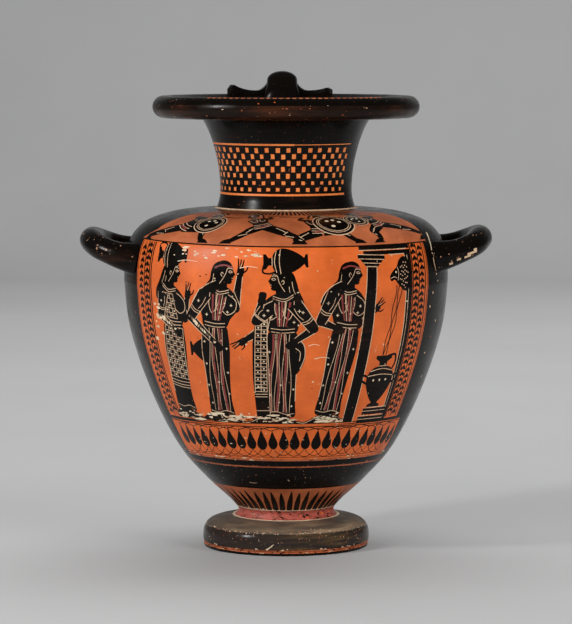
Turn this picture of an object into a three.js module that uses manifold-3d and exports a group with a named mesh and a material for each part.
// A terracotta hydria, the three-handled water jar: a wheel-thrown body with a broad shoulder, a separately
// thrown neck and overhanging lip, and a rounded foot. Two round handles lie level at the sides for lifting,
// and a strap handle with a spurred plate on the lip rises behind for pouring. All of it is fired as one piece.
// The jar stands on Z = 0 with its axis on Z, its painted front towards -Y and +X to the right.

import * as THREE from "three";
import { mergeVertices } from "three/addons/utils/BufferGeometryUtils.js";
import Module from "manifold-3d";

// Every size is in millimetres and every angle in degrees.

// Foot: a flat ring to stand on, a hollowed underside and a thick rounded edge.
const FOOT_RADIUS = 75.2;
const FOOT_HEIGHT = 28.2;
const FOOT_STEP_HEIGHT = 3.4;
const FOOT_STEP_GROOVE = 1.2;
const STANDING_RING_WIDTH = 14;
const UNDERSIDE_DEPTH = 13;

// Collar between foot and body.
const COLLAR_HEIGHT = 5.6;
const COLLAR_FLARE = 1.8;
const STEM_RADIUS = 42.8;

// Body: the wall widens from the stem to the belly, then closes over the shoulder to the neck.
const BELLY_RADIUS = 145.9;
const BELLY_RISE = 207.2;
const SHOULDER_RISE = 64.8;
const BODY_WALL = 5.5;
const FLOOR_THICKNESS = 6;
const FLOOR_CORNER = 1;
const FLOOR_DISH = 0.3;

// Neck and mouth.
const NECK_FOOT_RADIUS = 62.4;
const NECK_WAIST = 2.7;
const NECK_FLARE = 13.2;
const NECK_HEIGHT = 80.2;
const NECK_WALL = 6;
const LIP_RADIUS = 120;
const LIP_THICKNESS = 19.6;
const LIP_UNDERCUT = 0.6;
const MOUTH_DISH = 9;
const RIM_EDGE_WIDTH = 3;
const RIM_EDGE_DROP = 0.4;

// Side handles: round loops, with how far each reaches from the axis and climbs from its roots.
const GRIP_DIAMETER = 21.6;
const SIDE_HANDLE_SPREAD = 98;
const SIDE_HANDLE_REACH = 185.4;
const SIDE_ROOT_RISE = 21;
const SIDE_ROOT_FLARE = 1.42;
const SIDE_HANDLE_CLIMB = 15.2;
const RIGHT_HANDLE_RAISED = 1.8;

// Back handle: a strap from the shoulder to the lip, which it crosses in a rounded arch.
const STRAP_WIDTH = 30;
const STRAP_THICKNESS = 17;
const STRAP_ROOT_FLARE = 1.35;
const STRAP_ROOT_RADIUS = 112;
const STRAP_STANDOFF = 6.5;
const STRAP_FIRST_BEND = 22;
const STRAP_BOW = 3;
const STRAP_LAST_BEND = 8;
const ARCH_HEIGHT = 21;
const ARCH_WIDTH = 28;
const ARCH_FOOT_WIDTH = 38;
const ARCH_OFFSET = -3.6;
const ARCH_LEAN = 2;
const ARCH_REAR_RISE = 3;
const ARCH_CROWN_SETBACK = 1;
const ARCH_LANDING_RISE = 1;
const ARCH_LANDING_DEPTH = 2;

// Spurred plate on the lip at each side of the arch.
const PLATE_HEIGHT = 3;
const ARCH_WEB_HEIGHT = 9;
const ARCH_WEB_REACH = 10;
const ARCH_WEB_OVERLAP = 1.6;
const PLATE_DEPTH = 11;
const LEFT_SPUR_SPAN = 55;
const RIGHT_SPUR_SPAN = 43;
const SPUR_TIP_WIDTH = 4;
const SPUR_TIP_FLAT = 1.2;
const LEFT_SPUR_HEIGHT = 5.3;
const RIGHT_SPUR_HEIGHT = 2.6;

// Fineness of the facets.
const TURNS = 56;
const HANDLE_SIDES = 12;
const HANDLE_STEPS = 16;

// Heights up the axis.
const STEM_Z = FOOT_HEIGHT + COLLAR_HEIGHT;
const BELLY_Z = STEM_Z + BELLY_RISE;
const SHOULDER_Z = BELLY_Z + SHOULDER_RISE;
const LIP_UNDERSIDE_Z = SHOULDER_Z + NECK_HEIGHT;
const LIP_Z = LIP_UNDERSIDE_Z + LIP_UNDERCUT + LIP_THICKNESS / 2;
const LIP_TOP_Z = LIP_Z + LIP_THICKNESS / 2;
const LIP_RING_RADIUS = LIP_RADIUS - LIP_THICKNESS / 2;

// The thrown curves, each a list of [share of the rise, share of the widening].
const FOOT_EDGE = [[0.128, 0.969], [0.21, 0.994], [0.39, 1], [0.585, 0.969], [0.745, 0.877],
  [0.858, 0.716], [0.936, 0.407], [1, 0.06]];
const LOWER_WALL = [[0, 0], [0.045, 0.08], [0.14, 0.285], [0.265, 0.505], [0.445, 0.703],
  [0.655, 0.87], [0.83, 0.964], [1, 1]];
const SHOULDER_WALL = [[0, 1], [0.28, 0.99], [0.58, 0.93], [0.79, 0.79], [0.9, 0.605], [0.965, 0.37], [1, 0]];
const NECK_WALL_CURVE = [[0, 0], [0.12, -1], [0.27, -1.19], [0.5, -0.433], [0.74, 0.279], [0.9, 0.656], [1, 1]];

const wasm = await Module();
wasm.setup();

const point = (radius, height) => new THREE.Vector2(radius, height);

// A smooth curve through stations given as shares of a rise and a widening.
function thrownCurve(stations, bottomZ, rise, innerRadius, widening, steps) {
  const curve = new THREE.SplineCurve(
    stations.map(([up, out]) => point(innerRadius + out * widening, bottomZ + up * rise)),
  );
  return curve.getPoints(steps);
}

// Points of a round arc in the profile plane, from one angle to another.
function roundEdge(centreRadius, centreZ, halfWidth, halfHeight, from, to, steps) {
  const arc = new THREE.EllipseCurve(centreRadius, centreZ, halfWidth, halfHeight,
    THREE.MathUtils.degToRad(from), THREE.MathUtils.degToRad(to), to < from, 0);
  return arc.getPoints(steps);
}

function lowerWall(steps) {
  return thrownCurve(LOWER_WALL, STEM_Z, BELLY_RISE, STEM_RADIUS, BELLY_RADIUS - STEM_RADIUS, steps);
}

function shoulderWall(steps) {
  return thrownCurve(SHOULDER_WALL, BELLY_Z, SHOULDER_RISE, NECK_FOOT_RADIUS,
    BELLY_RADIUS - NECK_FOOT_RADIUS, steps);
}

// The neck narrows by NECK_WAIST above the shoulder and flares by NECK_FLARE under the lip.
function neckWall(steps) {
  const stations = NECK_WALL_CURVE.map(([up, out]) =>
    point(NECK_FOOT_RADIUS + out * (out < 0 ? NECK_WAIST : NECK_FLARE), SHOULDER_Z + up * NECK_HEIGHT));
  return new THREE.SplineCurve(stations).getPoints(steps);
}

// The outside from the middle of the underside to the middle of the lip's top.
function outerProfile() {
  const ringInner = FOOT_RADIUS - STANDING_RING_WIDTH;
  const footEdge = thrownCurve(FOOT_EDGE, 0, FOOT_HEIGHT, STEM_RADIUS, FOOT_RADIUS - STEM_RADIUS, 9);
  return [
    point(0, UNDERSIDE_DEPTH),
    point(ringInner * 0.6, UNDERSIDE_DEPTH * 0.93),
    point(ringInner * 0.86, UNDERSIDE_DEPTH * 0.6),
    point(ringInner, 0),
    point(FOOT_RADIUS - FOOT_STEP_GROOVE, 0),
    point(FOOT_RADIUS - FOOT_STEP_GROOVE / 2, FOOT_STEP_HEIGHT * 0.75),
    point(FOOT_RADIUS - FOOT_STEP_GROOVE * 1.6, FOOT_STEP_HEIGHT),
    ...footEdge,
    point(STEM_RADIUS + COLLAR_FLARE * 0.4, FOOT_HEIGHT + COLLAR_HEIGHT * 0.3),
    ...lowerWall(9),
    ...shoulderWall(8).slice(1),
    ...neckWall(6).slice(1),
    ...roundEdge(LIP_RING_RADIUS, LIP_Z, LIP_THICKNESS / 2, LIP_THICKNESS / 2, -90, 90, 7),
  ];
}

// A curve moved inwards by a wall's thickness, square to itself.
function innerFace(curve, wall) {
  return curve.map((at, i) => {
    const before = curve[Math.max(i - 1, 0)];
    const after = curve[Math.min(i + 1, curve.length - 1)];
    const along = after.clone().sub(before).normalize();
    return point(at.x - along.y * wall, at.y + along.x * wall);
  });
}

// The inner wall of the body, from the middle of its floor to the foot of the neck.
function bellyProfile() {
  const floorZ = STEM_Z + FLOOR_THICKNESS;
  const wall = innerFace(lowerWall(7), BODY_WALL).filter((p) => p.y > floorZ + FLOOR_CORNER);
  const shoulder = innerFace(shoulderWall(6), BODY_WALL).slice(1);
  return [point(0, floorZ), point(wall[0].x * 0.75, floorZ + FLOOR_DISH), ...wall, ...shoulder];
}

// The whole hollow, on up the neck and the dished mouth and clear above the lip.
function hollowProfile() {
  const neck = innerFace(neckWall(5), NECK_WALL).slice(1, -1);
  const throat = neck[neck.length - 1];
  const rimEdge = point(LIP_RING_RADIUS - RIM_EDGE_WIDTH, LIP_TOP_Z - RIM_EDGE_DROP);
  const dish = new THREE.QuadraticBezierCurve(
    throat,
    point(throat.x + NECK_FLARE, LIP_TOP_Z - MOUTH_DISH),
    rimEdge,
  );
  return [
    ...bellyProfile(),
    ...neck,
    ...dish.getPoints(4).slice(1),
    point(rimEdge.x, LIP_TOP_Z + LIP_THICKNESS),
    point(0, LIP_TOP_Z + LIP_THICKNESS),
  ];
}

// A closed geometry as a solid. Triangles that merging has left without an area are dropped.
function solidFrom(geometry) {
  const bare = new THREE.BufferGeometry();
  bare.setAttribute("position", geometry.getAttribute("position"));
  bare.setIndex(geometry.getIndex());
  const merged = mergeVertices(bare, 1e-4);
  const corners = merged.index.array;
  const kept = [];
  for (let i = 0; i < corners.length; i += 3) {
    const [a, b, c] = [corners[i], corners[i + 1], corners[i + 2]];
    if (a !== b && b !== c && c !== a) kept.push(a, b, c);
  }
  return new wasm.Manifold(new wasm.Mesh({
    numProp: 3,
    vertProperties: merged.attributes.position.array,
    triVerts: new Uint32Array(kept),
  }));
}

// A profile turned about Z.
function turned(profile) {
  const geometry = new THREE.LatheGeometry(profile, TURNS);
  geometry.rotateX(Math.PI / 2);
  return solidFrom(geometry);
}

// The radius of the outer wall at a height, read off the thrown curves.
function wallRadius(z) {
  const wall = [...lowerWall(60), ...shoulderWall(60)];
  const nearest = wall.reduce((best, p) => (Math.abs(p.y - z) < Math.abs(best.y - z) ? p : best));
  return nearest.x;
}

// The height of the shoulder at a radius.
function shoulderHeight(radius) {
  const nearest = shoulderWall(80).reduce((best, p) =>
    (Math.abs(p.x - radius) < Math.abs(best.x - radius) ? p : best));
  return nearest.y;
}

// A closed handle along a path. sizeAt gives the half width and half thickness of the oval section at a share
// of the path, and flat is the direction that the half width lies in.
function handleAlong(path, sizeAt, flat) {
  const positions = [];
  const index = [];
  for (let step = 0; step <= HANDLE_STEPS; step++) {
    const share = step / HANDLE_STEPS;
    const centre = path.getPointAt(share);
    const along = path.getTangentAt(share);
    const thick = new THREE.Vector3().crossVectors(along, flat).normalize();
    const wide = new THREE.Vector3().crossVectors(thick, along).normalize();
    const [halfWidth, halfThickness] = sizeAt(share);
    for (let side = 0; side < HANDLE_SIDES; side++) {
      const turn = (side / HANDLE_SIDES) * Math.PI * 2;
      const corner = centre.clone()
        .addScaledVector(wide, Math.cos(turn) * halfWidth)
        .addScaledVector(thick, Math.sin(turn) * halfThickness);
      positions.push(corner.x, corner.y, corner.z);
    }
  }
  for (let step = 0; step < HANDLE_STEPS; step++) {
    for (let side = 0; side < HANDLE_SIDES; side++) {
      const next = (side + 1) % HANDLE_SIDES;
      const [a, b] = [step * HANDLE_SIDES + side, step * HANDLE_SIDES + next];
      index.push(a, b, b + HANDLE_SIDES, a, b + HANDLE_SIDES, a + HANDLE_SIDES);
    }
  }
  const lastRing = HANDLE_STEPS * HANDLE_SIDES;
  for (let side = 1; side < HANDLE_SIDES - 1; side++) {
    index.push(0, side + 1, side);
    index.push(lastRing, lastRing + side, lastRing + side + 1);
  }
  const geometry = new THREE.BufferGeometry();
  geometry.setAttribute("position", new THREE.Float32BufferAttribute(positions, 3));
  geometry.setIndex(index);
  return solidFrom(geometry);
}

// How much a section swells towards the roots at both ends of a path.
function rootSwelling(share, flare, reach) {
  const fromEnd = Math.min(share, 1 - share) / reach;
  return 1 + (flare - 1) * Math.max(0, 1 - fromEnd) ** 2;
}

// A level loop on one side of the belly: side is 1 on the right and -1 on the left.
function sideHandle(side, rootRise) {
  const grip = GRIP_DIAMETER / 2;
  const rootZ = BELLY_Z + rootRise;
  const halfSpread = SIDE_HANDLE_SPREAD / 2;
  const rootX = Math.sqrt(Math.max(wallRadius(rootZ) ** 2 - halfSpread ** 2, 1)) - BODY_WALL;
  const outerX = SIDE_HANDLE_REACH - grip;
  const legs = [[0, 1, 0], [0.42, 0.98, 0.28], [0.78, 0.78, 0.66], [0.97, 0.36, 0.95], [1, 0, 1]];
  const place = ([out, apart, up], end) => new THREE.Vector3(
    side * (rootX + out * (outerX - rootX)),
    end * apart * halfSpread,
    rootZ + up * SIDE_HANDLE_CLIMB,
  );
  const front = legs.map((leg) => place(leg, -1));
  const back = legs.slice(0, -1).reverse().map((leg) => place(leg, 1));
  const path = new THREE.CatmullRomCurve3([...front, ...back]);
  const size = (share) => {
    const swell = rootSwelling(share, SIDE_ROOT_FLARE, 0.2);
    return [grip * swell, grip * (0.5 + swell / 2)];
  };
  return handleAlong(path, size, new THREE.Vector3(0, 0, 1));
}

// The strap behind the neck, from the shoulder up past the lip and over it. Its arch sits a little to the left.
function backHandle() {
  const half = STRAP_THICKNESS / 2;
  const lipY = LIP_RADIUS + STRAP_STANDOFF - half;
  const rootZ = shoulderHeight(STRAP_ROOT_RADIUS);
  const archZ = LIP_TOP_Z + ARCH_HEIGHT - half;
  const path = new THREE.CatmullRomCurve3([
    new THREE.Vector3(0, STRAP_ROOT_RADIUS - BODY_WALL / 2, rootZ - BODY_WALL),
    new THREE.Vector3(0, STRAP_ROOT_RADIUS + (lipY - STRAP_ROOT_RADIUS) * 0.6, rootZ + STRAP_FIRST_BEND),
    new THREE.Vector3(ARCH_OFFSET * 0.4, lipY + STRAP_BOW, (rootZ + LIP_Z) / 2),
    new THREE.Vector3(ARCH_OFFSET * 0.8, lipY + STRAP_BOW / 2, LIP_Z - STRAP_LAST_BEND),
    new THREE.Vector3(ARCH_OFFSET, lipY - ARCH_LEAN, LIP_TOP_Z + ARCH_REAR_RISE),
    new THREE.Vector3(ARCH_OFFSET, LIP_RING_RADIUS - ARCH_CROWN_SETBACK, archZ),
    new THREE.Vector3(ARCH_OFFSET, LIP_RING_RADIUS - STRAP_THICKNESS * 0.78, LIP_TOP_Z + ARCH_LANDING_RISE),
    new THREE.Vector3(ARCH_OFFSET, LIP_RING_RADIUS - STRAP_THICKNESS * 0.85, LIP_Z - ARCH_LANDING_DEPTH),
  ]);
  const size = (share) => {
    const swell = rootSwelling(Math.min(share, 0.5), STRAP_ROOT_FLARE, 0.16);
    const overLip = THREE.MathUtils.smoothstep(share, 0.62, 0.8);
    const landing = THREE.MathUtils.smoothstep(share, 0.86, 1);
    const width = THREE.MathUtils.lerp(STRAP_WIDTH, ARCH_WIDTH, overLip) * (1 - landing) + ARCH_FOOT_WIDTH * landing;
    return [width / 2 * swell, half * swell];
  };
  return handleAlong(path, size, new THREE.Vector3(1, 0, 0));
}

// The low plate on the lip behind the mouth. Its top sweeps down from the arch's flanks, dips and rises to a
// spur at each end, and the whole is bent round the lip.
function spurPlate() {
  const bottom = LIP_Z;
  const low = LIP_TOP_Z + PLATE_HEIGHT;
  const dip = ARCH_WIDTH / 2 + ARCH_WEB_REACH;
  const web = ARCH_WIDTH / 2 - ARCH_WEB_OVERLAP;
  const leftTip = SPUR_TIP_WIDTH - LEFT_SPUR_SPAN;
  const rightTip = RIGHT_SPUR_SPAN - SPUR_TIP_WIDTH;
  const outline = new THREE.Shape();
  outline.moveTo(-LEFT_SPUR_SPAN, bottom);
  outline.lineTo(-LEFT_SPUR_SPAN, low + LEFT_SPUR_HEIGHT * 0.35);
  outline.lineTo(leftTip - SPUR_TIP_FLAT / 2, low + LEFT_SPUR_HEIGHT);
  outline.lineTo(leftTip + SPUR_TIP_FLAT / 2, low + LEFT_SPUR_HEIGHT);
  outline.quadraticCurveTo(leftTip * 0.8, low, ARCH_OFFSET - dip, low);
  outline.quadraticCurveTo(ARCH_OFFSET - web, low, ARCH_OFFSET - web, low + ARCH_WEB_HEIGHT);
  outline.lineTo(ARCH_OFFSET + web, low + ARCH_WEB_HEIGHT);
  outline.quadraticCurveTo(ARCH_OFFSET + web, low, ARCH_OFFSET + dip, low);
  outline.quadraticCurveTo(rightTip * 0.8, low, rightTip - SPUR_TIP_FLAT / 2, low + RIGHT_SPUR_HEIGHT);
  outline.lineTo(rightTip + SPUR_TIP_FLAT / 2, low + RIGHT_SPUR_HEIGHT);
  outline.lineTo(RIGHT_SPUR_SPAN, low + RIGHT_SPUR_HEIGHT * 0.35);
  outline.lineTo(RIGHT_SPUR_SPAN, bottom);
  outline.closePath();
  const plate = new THREE.ExtrudeGeometry(outline, { depth: PLATE_DEPTH, bevelEnabled: false, curveSegments: 3 });
  const places = plate.getAttribute("position");
  for (let i = 0; i < places.count; i++) {
    const turn = places.getX(i) / LIP_RING_RADIUS;
    const radius = LIP_RING_RADIUS + PLATE_DEPTH / 2 - places.getZ(i);
    places.setXYZ(i, radius * Math.sin(turn), radius * Math.cos(turn), places.getY(i));
  }
  return solidFrom(plate);
}

// The pot is thrown and hollowed first. The handles are luted on, and none of them breaks through the body's wall.
function vessel() {
  const pot = turned([...outerProfile(), point(0, LIP_TOP_Z)]).subtract(turned(hollowProfile()));
  const belly = turned([...bellyProfile(), point(0, SHOULDER_Z)]);
  const handles = sideHandle(-1, SIDE_ROOT_RISE)
    .add(sideHandle(1, SIDE_ROOT_RISE + RIGHT_HANDLE_RAISED))
    .add(backHandle())
    .add(spurPlate())
    .subtract(belly);
  return pot.add(handles);
}

function meshFrom(solid, name, material) {
  const { vertProperties, triVerts, numProp } = solid.getMesh();
  const positions = new Float32Array((vertProperties.length / numProp) * 3);
  for (let i = 0; i < positions.length / 3; i++) {
    positions.set(vertProperties.subarray(i * numProp, i * numProp + 3), i * 3);
  }
  const geometry = new THREE.BufferGeometry();
  geometry.setAttribute("position", new THREE.BufferAttribute(positions, 3));
  geometry.setIndex(new THREE.BufferAttribute(new Uint32Array(triVerts), 1));
  geometry.computeVertexNormals();
  const mesh = new THREE.Mesh(geometry, material);
  mesh.name = name;
  return mesh;
}

const blackGloss = new THREE.MeshStandardMaterial({ color: 0x2b2522, roughness: 0.35, metalness: 0 });

const hydria = new THREE.Group();
hydria.add(meshFrom(vessel(), "hydria", blackGloss));

export default hydria;
